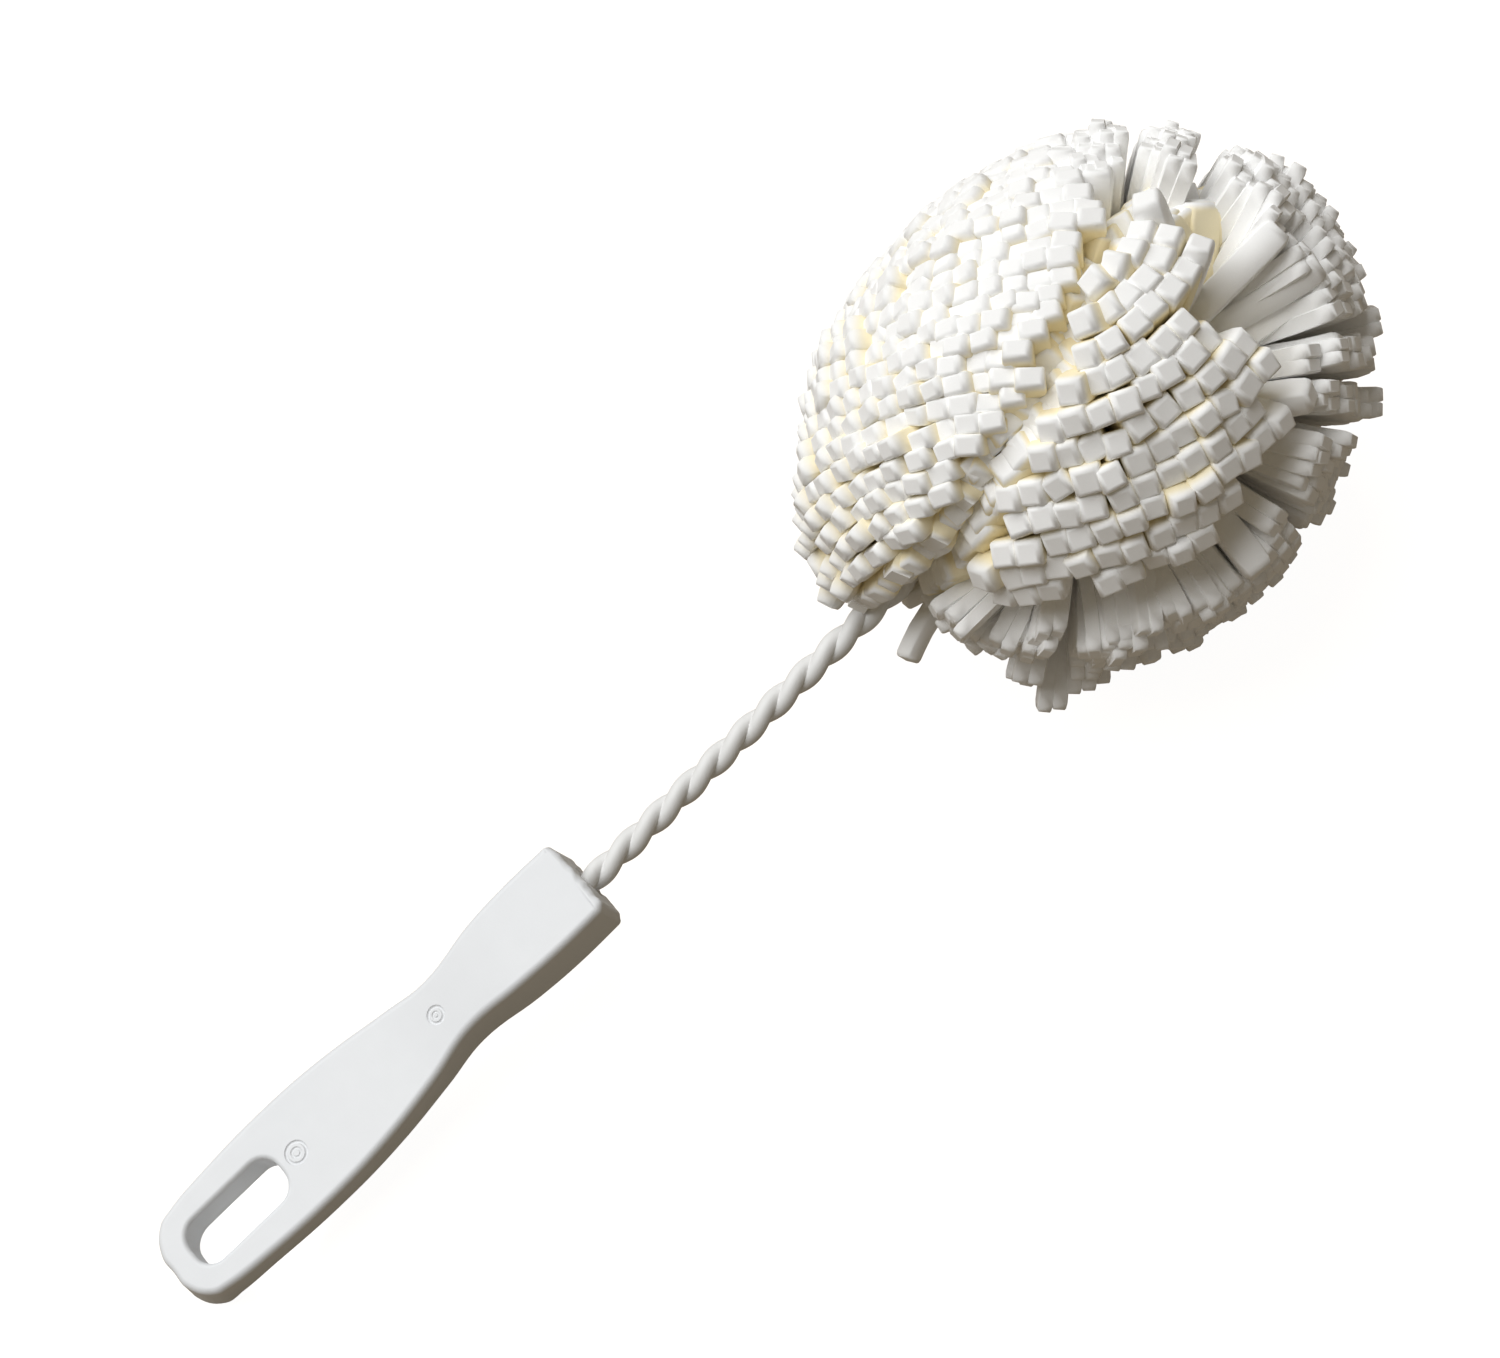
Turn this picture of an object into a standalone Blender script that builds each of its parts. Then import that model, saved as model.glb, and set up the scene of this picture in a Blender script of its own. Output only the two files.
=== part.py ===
"""Foam bottle brush: a flat moulded handle, a hairpin of coated steel wire twisted into the stem, and a
stack of fringe-cut foam sheets pinched between the legs of the wire. Metres, +Z up.

The pieces are modelled along the brush's own axis, with the tail of the handle at x = 0, the flat top of the
handle up and the head at +X. The whole brush then leans to rest on its tail and on the foam head."""

import math

import bmesh
import bpy
import numpy as np
from mathutils import Matrix, Vector

# Handle. Widths are whole widths. Past the rounded tail, the outline's places are shares of the handle's length
HANDLE_LENGTH = 0.106
TAIL_THICKNESS = 0.0090
MOUTH_THICKNESS = 0.0125
TAIL_CORNER_STATION = 0.0026
TAIL_CORNER_WIDTH = 0.0150
HEEL_STATION = 0.0085
HEEL_WIDTH = 0.0190
REAR_SHARE = 0.330
REAR_WIDTH = 0.0226
SHOULDER_SHARE = 0.547
SHOULDER_WIDTH = 0.0183
WAIST_SHARE = 0.684
WAIST_WIDTH = 0.0127
FRONT_SHARE = 0.868
FRONT_WIDTH = 0.0178
MOUTH_WIDTH = 0.0172
REAR_EDGE_RADIUS = 0.0026
MOUTH_EDGE_RADIUS = 0.0015
SLOT_EDGE_RADIUS = 0.0006
RIM_ANGLE = math.radians(80)
OUTLINE_STEPS = 9
EDGE_STEPS = 3

# Hanging slot
SLOT_START = 0.0054
SLOT_LENGTH = 0.0230
SLOT_WIDTH = 0.0106
SLOT_CORNER_RADIUS = 0.0040
SLOT_CORNER_STEPS = 6

# Round moulding marks in the top face: one past the slot, one behind the waist
GATE_MARK_RADIUS = 0.0021
GATE_MARK_CLEARANCE = 0.0009
PIN_MARK_RADIUS = 0.0016
PIN_MARK_SETBACK = 0.0025
MARK_GROOVE_RADIUS = 0.00035
MARK_GROOVE_DEPTH = 0.00024
MARK_SIDES = 24
GROOVE_SIDES = 6

# Socket for the wire
SOCKET_DEPTH = 0.030
SOCKET_CLEARANCE = 0.00035
SOCKET_FLARE = 0.0009
SOCKET_SIDES = 24

# Wire
WIRE_DIAMETER = 0.00245
CORE_DIAMETER = 0.0012
CORE_CLEARANCE = 0.00025
STRAND_GAP = 0.0005
TWIST_PITCH = 0.0154
POINTS_A_TURN = 8
TWIST_FADE = 0.004
OPENING_LENGTH = 0.010
WIRE_END_GAP = 0.001
BEND_STEPS = 8

# Foam head. Its widest place lies behind the middle of the sheets, and its fingers lean forward on the whole
HEAD_STATION = 0.241
HEAD_LENGTH = 0.117
HEAD_WIDTH = 0.097
WIDEST_SETBACK = 0.0043
SHEET_COUNT = 14
FINGER_COUNT = 13
WEB_LENGTH = 0.050
WEB_MIDDLE_REACH = 0.0130
WEB_END_REACH = 0.0052
WEB_THICKNESS = 0.0004
SHEET_GAP = 0.0004
PINCH_CLEARANCE = 0.0005
BEND_SHARE = 0.2
SPREAD_ACROSS = math.radians(79)
SPREAD_ALONG = math.radians(66)
FORWARD_LEAN = math.radians(11)
STEM_ROUNDING_SHARE = 0.23
TIP_ROUNDING_SHARE = 0.34
FINGER_SHARE = 0.74
CLEFT_REACH = 0.0025
HEAD_TURN = math.radians(56)
HEAD_TURN_MIDDLE = math.radians(9)
FOOT_DEPTH = 0.0005

CUTTER_OVERRUN = 0.002
LEAN_STEPS = 20


def start_scene(name):
    """An empty scene with a collection for the parts and one for the cutters."""
    for obj in list(bpy.data.objects):
        bpy.data.objects.remove(obj)
    collections = []
    for title in (name, name + "_cutters"):
        collection = bpy.data.collections.new(title)
        bpy.context.scene.collection.children.link(collection)
        collections.append(collection)
    collections[1].hide_render = True
    return collections


def finish(name, colour, roughness, metallic=0.0):
    material = bpy.data.materials.new(name)
    material.use_nodes = True
    shader = material.node_tree.nodes["Principled BSDF"]
    shader.inputs["Base Color"].default_value = (*colour, 1.0)
    shader.inputs["Roughness"].default_value = roughness
    shader.inputs["Metallic"].default_value = metallic
    return material


def add_object(name, data, collection, material=None):
    obj = bpy.data.objects.new(name, data)
    collection.objects.link(obj)
    if material:
        data.materials.append(material)
    return obj


def add_cutter(name, mesh, collection):
    cutter = add_object(name, mesh, collection)
    cutter.hide_render = True
    cutter.display_type = "WIRE"
    return cutter


def cut(obj, cutter):
    modifier = obj.modifiers.new("cut_" + cutter.name, "BOOLEAN")
    modifier.operation = "DIFFERENCE"
    modifier.object = cutter


def mesh_from(bm, name):
    bmesh.ops.recalc_face_normals(bm, faces=bm.faces[:])
    mesh = bpy.data.meshes.new(name)
    bm.to_mesh(mesh)
    bm.free()
    return mesh


def mesh_from_curve(curve, name):
    """The curve's solid as one welded mesh."""
    guide = bpy.data.objects.new(name, curve)
    bpy.context.scene.collection.objects.link(guide)
    graph = bpy.context.evaluated_depsgraph_get()
    mesh = bpy.data.meshes.new_from_object(guide.evaluated_get(graph))
    bpy.data.objects.remove(guide)
    bm = bmesh.new()
    bm.from_mesh(mesh)
    bmesh.ops.remove_doubles(bm, verts=bm.verts[:], dist=CORE_CLEARANCE / 10)
    bmesh.ops.recalc_face_normals(bm, faces=bm.faces[:])
    bm.to_mesh(mesh)
    bm.free()
    return mesh


def handle_thickness(station):
    return TAIL_THICKNESS + (MOUTH_THICKNESS - TAIL_THICKNESS) * station / HANDLE_LENGTH


def taper_angle():
    """The slope of the handle's top and bottom faces against its axis."""
    return math.atan((MOUTH_THICKNESS - TAIL_THICKNESS) / 2 / HANDLE_LENGTH)


def add_outline(curve):
    """The waisted outline, as one smooth closed spline with two sharp corners at the mouth."""
    side = [
        (TAIL_CORNER_STATION, TAIL_CORNER_WIDTH),
        (HEEL_STATION, HEEL_WIDTH),
        (REAR_SHARE * HANDLE_LENGTH, REAR_WIDTH),
        (SHOULDER_SHARE * HANDLE_LENGTH, SHOULDER_WIDTH),
        (WAIST_SHARE * HANDLE_LENGTH, WAIST_WIDTH),
        (FRONT_SHARE * HANDLE_LENGTH, FRONT_WIDTH),
        (HANDLE_LENGTH, MOUTH_WIDTH),
    ]
    left = [(x, width / 2) for x, width in side]
    right = [(x, -y) for x, y in reversed(left)]
    points = [(0, 0)] + left + right
    spline = curve.splines.new("BEZIER")
    spline.bezier_points.add(len(points) - 1)
    for point, (x, y) in zip(spline.bezier_points, points):
        point.co = (x, y, 0)
        at_mouth = x == HANDLE_LENGTH
        point.handle_left_type = "VECTOR" if at_mouth else "AUTO"
        point.handle_right_type = "VECTOR" if at_mouth else "AUTO"
    spline.use_cyclic_u = True


def add_slot(curve):
    """The slot, as a closed spline inside the outline: a rectangle with round corners."""
    ends = (SLOT_START + SLOT_CORNER_RADIUS, SLOT_START + SLOT_LENGTH - SLOT_CORNER_RADIUS)
    half = SLOT_WIDTH / 2 - SLOT_CORNER_RADIUS
    centres = [(ends[1], half), (ends[0], half), (ends[0], -half), (ends[1], -half)]
    points = []
    for quarter, (x, y) in enumerate(centres):
        for step in range(SLOT_CORNER_STEPS + 1):
            angle = (quarter + step / SLOT_CORNER_STEPS) * math.pi / 2
            places = (x + SLOT_CORNER_RADIUS * math.cos(angle), y + SLOT_CORNER_RADIUS * math.sin(angle))
            points.append(places)
    spline = curve.splines.new("POLY")
    spline.points.add(len(points) - 1)
    for point, (x, y) in zip(spline.points, points):
        point.co = (x, y, 0, 1)
    spline.use_cyclic_u = True


def in_slot(place):
    return place.x < SLOT_START + SLOT_LENGTH + SLOT_EDGE_RADIUS and abs(place.y) < (
        SLOT_WIDTH / 2 + SLOT_EDGE_RADIUS
    ) and place.x > SLOT_START - SLOT_EDGE_RADIUS


def make_handle(parts, cutters):
    curve = bpy.data.curves.new("handle_outline", "CURVE")
    curve.dimensions = "2D"
    curve.fill_mode = "BOTH"
    curve.extrude = MOUTH_THICKNESS / 2
    curve.resolution_u = OUTLINE_STEPS
    add_outline(curve)
    add_slot(curve)
    mesh = mesh_from_curve(curve, "handle")
    bm = bmesh.new()
    bm.from_mesh(mesh)
    weights = bm.edges.layers.float.new("bevel_weight_edge")
    for vert in bm.verts:
        vert.co.z *= handle_thickness(vert.co.x) / MOUTH_THICKNESS
    for edge in bm.edges:
        middle = (edge.verts[0].co + edge.verts[1].co) / 2
        flat = edge.verts[0].co.z * edge.verts[1].co.z > 0
        rim = edge.is_manifold and edge.calc_face_angle() > RIM_ANGLE
        corner = not flat and edge.verts[0].co.x > HANDLE_LENGTH - MOUTH_EDGE_RADIUS
        if not rim and not corner:
            continue
        share = middle.x / HANDLE_LENGTH
        radius = REAR_EDGE_RADIUS + (MOUTH_EDGE_RADIUS - REAR_EDGE_RADIUS) * share
        edge[weights] = (SLOT_EDGE_RADIUS if in_slot(middle) else radius) / REAR_EDGE_RADIUS
    bm.to_mesh(mesh)
    bm.free()
    handle = add_object("handle", mesh, parts, finish("handle_white", (0.80, 0.81, 0.83), 0.42))
    bevel = handle.modifiers.new("soft_edges", "BEVEL")
    bevel.limit_method = "WEIGHT"
    bevel.width = REAR_EDGE_RADIUS
    bevel.segments = EDGE_STEPS
    cut_socket(handle, cutters)
    slot_end = SLOT_START + SLOT_LENGTH + SLOT_EDGE_RADIUS
    cut_mark(handle, cutters, "gate_mark", slot_end + GATE_MARK_CLEARANCE + GATE_MARK_RADIUS, GATE_MARK_RADIUS)
    cut_mark(handle, cutters, "pin_mark", WAIST_SHARE * HANDLE_LENGTH - PIN_MARK_SETBACK, PIN_MARK_RADIUS)
    mesh.shade_smooth()
    mesh.set_sharp_from_angle(angle=math.radians(40))
    return handle


def cut_socket(handle, cutters):
    """The blind bore that the twisted ends of the wire sit in, with a flared mouth."""
    bore = stem_radius() + SOCKET_CLEARANCE
    profile = [
        (HANDLE_LENGTH - SOCKET_DEPTH, 0),
        (HANDLE_LENGTH - SOCKET_DEPTH, bore),
        (HANDLE_LENGTH - SOCKET_FLARE, bore),
        (HANDLE_LENGTH + CUTTER_OVERRUN, bore + SOCKET_FLARE + CUTTER_OVERRUN),
        (HANDLE_LENGTH + CUTTER_OVERRUN, 0),
    ]
    bm = bmesh.new()
    verts = [bm.verts.new((station, 0, radius)) for station, radius in profile]
    edges = [bm.edges.new(pair) for pair in zip(verts, verts[1:])]
    bmesh.ops.spin(bm, geom=verts + edges, axis=(1, 0, 0), angle=2 * math.pi, steps=SOCKET_SIDES)
    bmesh.ops.remove_doubles(bm, verts=bm.verts[:], dist=CORE_CLEARANCE / 10)
    cut(handle, add_cutter("socket", mesh_from(bm, "socket"), cutters))


def cut_mark(handle, cutters, name, station, radius):
    """One ring groove in the handle's top face."""
    height = handle_thickness(station) / 2 + MARK_GROOVE_RADIUS - MARK_GROOVE_DEPTH
    bpy.ops.mesh.primitive_torus_add(
        major_radius=radius,
        minor_radius=MARK_GROOVE_RADIUS,
        major_segments=MARK_SIDES,
        minor_segments=GROOVE_SIDES,
    )
    torus = bpy.context.object
    mesh = torus.data
    bpy.data.objects.remove(torus)
    mesh.transform(Matrix.Translation((station, 0, height)) @ Matrix.Rotation(-taper_angle(), 4, "Y"))
    cut(handle, add_cutter(name, mesh, cutters))


def helix_radius():
    """Distance from the stem's axis to the centre of either leg."""
    return (WIRE_DIAMETER + STRAND_GAP) / 2


def stem_radius():
    return helix_radius() + WIRE_DIAMETER / 2


def stack_height():
    return SHEET_COUNT * WEB_THICKNESS + (SHEET_COUNT - 1) * SHEET_GAP


def leg_height():
    """Distance from the axis to the centre of either leg where the foam passes between them."""
    return stack_height() / 2 + PINCH_CLEARANCE + WIRE_DIAMETER / 2


def head_turn(share):
    """Turn of the head about its axis, left-handed, at a share from -1 at the stem to 1 at the tip."""
    return HEAD_TURN_MIDDLE - HEAD_TURN / 2 * share


def wire_turn(station):
    """Turn of the two legs about the axis: slow through the foam, fast along the stem."""
    start = HEAD_STATION - WEB_LENGTH / 2
    if station > start:
        return head_turn(min((station - HEAD_STATION) * 2 / WEB_LENGTH, 1))
    slow = HEAD_TURN / WEB_LENGTH
    fast = 2 * math.pi / TWIST_PITCH - slow
    fade = max((start - OPENING_LENGTH - station) / TWIST_FADE + 1 / 2, 0)
    ramp = fade * fade / 2 if fade < 1 else fade - 1 / 2
    return head_turn(-1) + slow * (start - station) + fast * TWIST_FADE * ramp


def wire_radius(station):
    """Distance of each leg from the axis: the legs open from the twisted stem round the foam."""
    start = HEAD_STATION - WEB_LENGTH / 2
    share = min(max((station - start + OPENING_LENGTH) / OPENING_LENGTH, 0), 1)
    return helix_radius() + (leg_height() - helix_radius()) * share * share * (3 - 2 * share)


def on_axis_turned(station, radius, angle):
    """A point at this radius, turned about the axis from straight up."""
    return Vector((station, -radius * math.sin(angle), radius * math.cos(angle)))


def wire_points():
    """The hairpin's centre line: up one leg, round the bend at the tip and back down the other."""
    first = HANDLE_LENGTH - SOCKET_DEPTH + WIRE_END_GAP
    twist_end = HEAD_STATION - WEB_LENGTH / 2 - OPENING_LENGTH
    last = HEAD_STATION + WEB_LENGTH / 2
    twisted = math.ceil((twist_end - first) * POINTS_A_TURN / TWIST_PITCH)
    opened = math.ceil((last - twist_end) * POINTS_A_TURN / TWIST_PITCH / 2)
    stations = [first + (twist_end - first) * step / twisted for step in range(twisted)]
    stations += [twist_end + (last - twist_end) * step / opened for step in range(opened + 1)]
    leg = [(x, wire_radius(x), wire_turn(x)) for x in stations]
    points = [on_axis_turned(x, radius, turn) for x, radius, turn in leg]
    for step in range(1, BEND_STEPS):
        angle = math.pi * step / BEND_STEPS
        across = leg_height() * math.cos(angle)
        points.append(on_axis_turned(last + leg_height() * math.sin(angle), across, head_turn(1)))
    points += [on_axis_turned(x, -radius, turn) for x, radius, turn in reversed(leg)]
    return points


def tube(points, radius, resolution, name):
    curve = bpy.data.curves.new(name, "CURVE")
    curve.dimensions = "3D"
    curve.bevel_depth = radius
    curve.bevel_resolution = resolution
    curve.use_fill_caps = True
    spline = curve.splines.new("POLY")
    spline.points.add(len(points) - 1)
    for point, place in zip(spline.points, points):
        point.co = (*place, 1)
    return mesh_from_curve(curve, name)


def make_wire(parts, cutters):
    """The steel core and the plastic coating round it, both along the same hairpin."""
    points = wire_points()
    half = len(points) // 2
    legs = np.array(points[:half]), np.array(points[-half:])
    apart = np.linalg.norm(legs[0][:, None] - legs[1][None], axis=2).min() - WIRE_DIAMETER
    print(f"least gap between the legs of the wire: {apart * 1000:.2f} mm")
    past_start = points[0] + (points[0] - points[1]).normalized() * CORE_DIAMETER
    past_end = points[-1] + (points[-1] - points[-2]).normalized() * CORE_DIAMETER
    bore = CORE_DIAMETER / 2 + CORE_CLEARANCE
    coating_mesh = tube(points, WIRE_DIAMETER / 2, 2, "wire_coating")
    coating = add_object("wire_coating", coating_mesh, parts, finish("coating_white", (0.82, 0.82, 0.82), 0.35))
    core_mesh = tube(points, CORE_DIAMETER / 2, 1, "wire_core")
    core = add_object("wire_core", core_mesh, parts, finish("galvanised_steel", (0.55, 0.56, 0.58), 0.3, 1.0))
    cutter = add_cutter("wire_bore", tube([past_start, *points, past_end], bore, 1, "wire_bore"), cutters)
    cut(coating, cutter)
    coating_mesh.shade_smooth()
    core_mesh.shade_smooth()
    return [core, coating]


def finger_angles(across, along):
    """Angles that a finger leans from straight out: up the stack and ahead along the head. The square of shares
    from -1 to 1 has its corners drawn in, less at the stem than at the tip."""
    draw = STEM_ROUNDING_SHARE + (TIP_ROUNDING_SHARE - STEM_ROUNDING_SHARE) * (1 + along) / 2
    up = across * math.sqrt(1 - draw * along * along)
    ahead = along * math.sqrt(1 - draw * across * across)
    return up * SPREAD_ACROSS, ahead * SPREAD_ALONG + FORWARD_LEAN


def head_place(across, along, side):
    """The point of the head's surface where a finger ends, by its shares of the stack's height and of the
    sheets' length, both from -1 to 1, and by its side of the cleft."""
    up, ahead = finger_angles(across * side, along)
    angle = math.hypot(up, ahead)
    way = math.atan2(up, ahead)
    ring = math.sin(angle)
    out = CLEFT_REACH + (HEAD_WIDTH / 2 - CLEFT_REACH) * math.cos(angle)
    forward = ring * math.cos(way) * HEAD_LENGTH / 2 - WIDEST_SETBACK
    place = (forward, side * out, side * ring * math.sin(way) * HEAD_WIDTH / 2)
    return Matrix.Rotation(head_turn(along), 3, "X") @ Vector(place)


def web_reach(share):
    """Distance from the axis to the web's edge, which curves in towards both ends of the sheet."""
    swell = math.sqrt(max(1 - share * share, 0))
    return WEB_END_REACH + (WEB_MIDDLE_REACH - WEB_END_REACH) * swell


def fan_angle(level, share):
    """How far a sheet leans away from flat at its edge, by the direction that its fingers take there."""
    up, ahead = finger_angles(abs(level) * 2 / SHEET_COUNT, share)
    angle = math.hypot(up, ahead)
    return math.asin(math.sin(angle) * up / angle) if angle else 0


def web_place(level, share, side, reach, face):
    """A point of a sheet's web. The sheet bends round the nearer leg of the wire, then runs straight.
    level counts sheets from the middle one, reach is the length from the axis and face is -1 or 1."""
    height = abs(level) * (WEB_THICKNESS + SHEET_GAP)
    over = 1 if level > 0 else -1
    bend_radius = leg_height() - height
    fan = fan_angle(level, share)
    turned = min(reach / bend_radius, fan)
    straight = max(reach - bend_radius * fan, 0)
    lift = face * over * WEB_THICKNESS / 2
    out = (bend_radius - lift) * math.sin(turned) + straight * math.cos(fan)
    up = leg_height() - (bend_radius - lift) * math.cos(turned) + straight * math.sin(fan)
    place = Vector((share * WEB_LENGTH / 2, side * out, over * up))
    return Matrix.Rotation(head_turn(share), 3, "X") @ place


def finger_end(level, finger, side):
    """The four corners of a finger's square end, by the signs of its width along the sheet and its height."""
    corners = {}
    for ahead in (-1, 1):
        for high in (-1, 1):
            along = (2 * finger + 1 + ahead * FINGER_SHARE) / FINGER_COUNT - 1
            across = (2 * level + high * FINGER_SHARE) / SHEET_COUNT
            corners[(ahead, high)] = head_place(across, along, side)
    return corners


def make_sheet(number, parts, material, to_floor):
    """One foam sheet: a thin web between the legs of the wire, with a comb of fingers on both edges."""
    level = number - (SHEET_COUNT - 1) / 2
    bm = bmesh.new()
    bmesh.ops.create_grid(bm, x_segments=FINGER_COUNT, y_segments=4, size=1)
    grown = bmesh.ops.extrude_face_region(bm, geom=bm.faces[:])
    for item in grown["geom"]:
        if isinstance(item, bmesh.types.BMVert):
            item.co.z = 1
    bmesh.ops.recalc_face_normals(bm, faces=bm.faces[:])
    base = list(bm.verts)
    roots = [face for face in bm.faces if abs(face.normal.y) > 1 / 2]
    ends = bmesh.ops.extrude_discrete_faces(bm, faces=roots)["faces"]
    for end in ends:
        middle = end.calc_center_median()
        finger = round((middle.x + 1) * FINGER_COUNT / 2 - 1 / 2)
        side = 1 if middle.y > 0 else -1
        corners = finger_end(level, finger, side)
        for vert in end.verts:
            ahead = 1 if vert.co.x > middle.x else -1
            high = 1 if vert.co.z > middle.z else -1
            vert.co = corners[(ahead, high)]
    for vert in base:
        share, depth, layer = vert.co
        across = {0: 0, 1: BEND_SHARE, 2: 1}[round(abs(depth) * 2)] * web_reach(share)
        vert.co = web_place(level, share, 1 if depth > 0 else -1, across, 1 if layer else -1)
    for vert in bm.verts:
        vert.co.x += HEAD_STATION
        height = (to_floor @ vert.co).z
        if height < 0:
            vert.co -= to_floor.to_3x3().inverted() @ Vector((0, 0, height))
    name = f"foam_sheet_{number + 1:02d}"
    return add_object(name, mesh_from(bm, name), parts, material)


def make_foam(parts, to_floor):
    material = finish("white_foam", (0.85, 0.84, 0.82), 0.95)
    return [make_sheet(number, parts, material, to_floor) for number in range(SHEET_COUNT)]


def lean_angle():
    """The nose-up lean at which the rounded tail edge and the underside of the head both touch the floor."""
    low = TAIL_THICKNESS / 2 - REAR_EDGE_RADIUS
    angle = 0
    for _ in range(LEAN_STEPS):
        head_drop = math.hypot(HEAD_LENGTH / 2 * math.sin(angle), HEAD_WIDTH / 2 * math.cos(angle))
        tail_drop = REAR_EDGE_RADIUS + low * math.cos(angle)
        rise = head_drop - FOOT_DEPTH - tail_drop
        angle = math.asin(rise / (HEAD_STATION - WIDEST_SETBACK - REAR_EDGE_RADIUS))
    return angle


def corners_of(obj):
    """The evaluated points of an object, in world space."""
    bpy.context.view_layer.update()
    evaluated = obj.evaluated_get(bpy.context.evaluated_depsgraph_get())
    mesh = evaluated.to_mesh()
    points = [evaluated.matrix_world @ vert.co for vert in mesh.vertices]
    evaluated.to_mesh_clear()
    return points


def main():
    parts, cutters = start_scene("foam_bottle_brush")
    stand = bpy.data.objects.new("stand", None)
    parts.objects.link(stand)
    stand.rotation_euler = (0, -lean_angle(), 0)
    handle = make_handle(parts, cutters)
    wires = make_wire(parts, cutters)
    for obj in [handle, *wires, *cutters.objects]:
        obj.parent = stand
    stand.location.z = -min(point.z for point in corners_of(handle))
    bpy.context.view_layer.update()
    sheets = make_foam(parts, stand.matrix_world.copy())
    for sheet in sheets:
        sheet.parent = stand
    reach = [point.x for obj in (handle, *sheets) for point in corners_of(obj)]
    stand.location.x = -(min(reach) + max(reach)) / 2
    bpy.context.view_layer.update()


main()
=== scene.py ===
import math
import random

import bpy
import numpy as np
from mathutils import Matrix, Vector, noise
from mathutils.kdtree import KDTree


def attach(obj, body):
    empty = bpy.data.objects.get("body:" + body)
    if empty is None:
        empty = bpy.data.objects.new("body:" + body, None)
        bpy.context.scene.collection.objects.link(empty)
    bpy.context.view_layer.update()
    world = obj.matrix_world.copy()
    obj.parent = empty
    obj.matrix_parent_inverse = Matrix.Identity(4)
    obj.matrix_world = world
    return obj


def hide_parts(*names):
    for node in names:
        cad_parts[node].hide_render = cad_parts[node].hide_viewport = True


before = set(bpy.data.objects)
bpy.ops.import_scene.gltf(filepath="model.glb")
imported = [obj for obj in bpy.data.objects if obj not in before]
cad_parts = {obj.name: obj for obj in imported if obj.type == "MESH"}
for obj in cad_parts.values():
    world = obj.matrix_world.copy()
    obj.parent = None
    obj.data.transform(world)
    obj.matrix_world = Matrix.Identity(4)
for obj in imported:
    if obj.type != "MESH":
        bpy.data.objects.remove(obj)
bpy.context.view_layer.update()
print("CAD frame loaded:", len(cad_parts), "nodes")

# how the brush stands: its own axis runs along +X from the tail, and leans nose up from there
stand = {"lean": math.radians(10.813582), "tail": (-0.144433, 0.0, 0.004417)}
toWorld = Matrix.Translation(stand["tail"]) @ Matrix.Rotation(-stand["lean"], 4, "Y")
scene = bpy.context.scene


class Link:
    # a shader socket that takes part in ordinary sums
    def __init__(self, nodes, socket):
        self.nodes = nodes
        self.socket = socket

    def maths(self, operation, *items, clamp=False):
        settings = {"operation": operation, "use_clamp": clamp}
        return self.nodes.add("Math", settings, dict(enumerate(items)))

    def __add__(self, other):
        return self.maths("ADD", self, other)

    __radd__ = __add__

    def __sub__(self, other):
        return self.maths("SUBTRACT", self, other)

    def __rsub__(self, other):
        return self.maths("SUBTRACT", other, self)

    def __mul__(self, other):
        return self.maths("MULTIPLY", self, other)

    __rmul__ = __mul__

    def clamped(self):
        return self.maths("ADD", self, 0.0, clamp=True)

    def above(self, low, high):
        # 0 under low, 1 over high, smooth between
        inputs = {"Value": self, "From Min": low, "From Max": high}
        return self.nodes.add("MapRange", {"interpolation_type": "SMOOTHSTEP"}, inputs, out="Result")


class Nodes:
    # one node tree, to which nodes are added by short calls
    def __init__(self, tree):
        self.tree = tree

    def plug(self, slot, item):
        if isinstance(item, Link):
            self.tree.links.new(item.socket, slot)
        else:
            slot.default_value = item

    def add(self, kind, settings=None, inputs=None, out=0):
        # a node by its type and settings, with the values or links of its sockets
        made = self.tree.nodes.new("ShaderNode" + kind)
        for name, value in (settings or {}).items():
            setattr(made, name, value)
        for name, item in (inputs or {}).items():
            self.plug(made.inputs[name], item)
        return Link(self, made.outputs[out])

    def show(self, output, link):
        self.plug(self.tree.nodes[output].inputs["Surface"], link)


class Finish(Nodes):
    # one Principled material
    def __init__(self, name):
        self.material = bpy.data.materials.new(name)
        self.material.use_nodes = True
        super().__init__(self.material.node_tree)
        self.shader = self.tree.nodes["Principled BSDF"]

    def place(self, scale=(1, 1, 1)):
        return self.add("Mapping", inputs={"Vector": self.add("TexCoord", out="Object"), "Scale": scale})

    def noise(self, size, detail=2.0, vector=None):
        inputs = {"Vector": vector or self.place(), "Scale": 1 / size, "Detail": detail}
        return self.add("TexNoise", inputs=inputs)

    def mix(self, share, low, high, blend="MIX"):
        ends = [item if isinstance(item, Link) else (*item, 1.0) for item in (low, high)]
        settings = {"data_type": "RGBA", "blend_type": blend}
        return self.add("Mix", settings, {"Factor": share, 6: ends[0], 7: ends[1]}, out=2)

    def bump(self, height, depth, strength, under=None):
        inputs = {"Height": height, "Distance": depth, "Strength": strength}
        if under:
            inputs["Normal"] = under
        return self.add("Bump", inputs=inputs)

    def feed(self, **items):
        for name, item in items.items():
            self.plug(self.shader.inputs[name.replace("_", " ")], item)

    def paint(self, obj):
        obj.data.materials.clear()
        obj.data.materials.append(self.material)


def smooth(share):
    # 0 under 0, 1 over 1, smooth between
    share = min(max(share, 0), 1)
    return share * share * (3 - 2 * share)


def unit(way):
    return way / np.linalg.norm(way)


def enter(mode):
    bpy.ops.object.mode_set(mode=mode)


def newObject(name, data):
    obj = bpy.data.objects.new(name, data)
    scene.collection.objects.link(obj)
    return obj


def selectAll():
    bpy.ops.mesh.select_all(action="SELECT")


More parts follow.
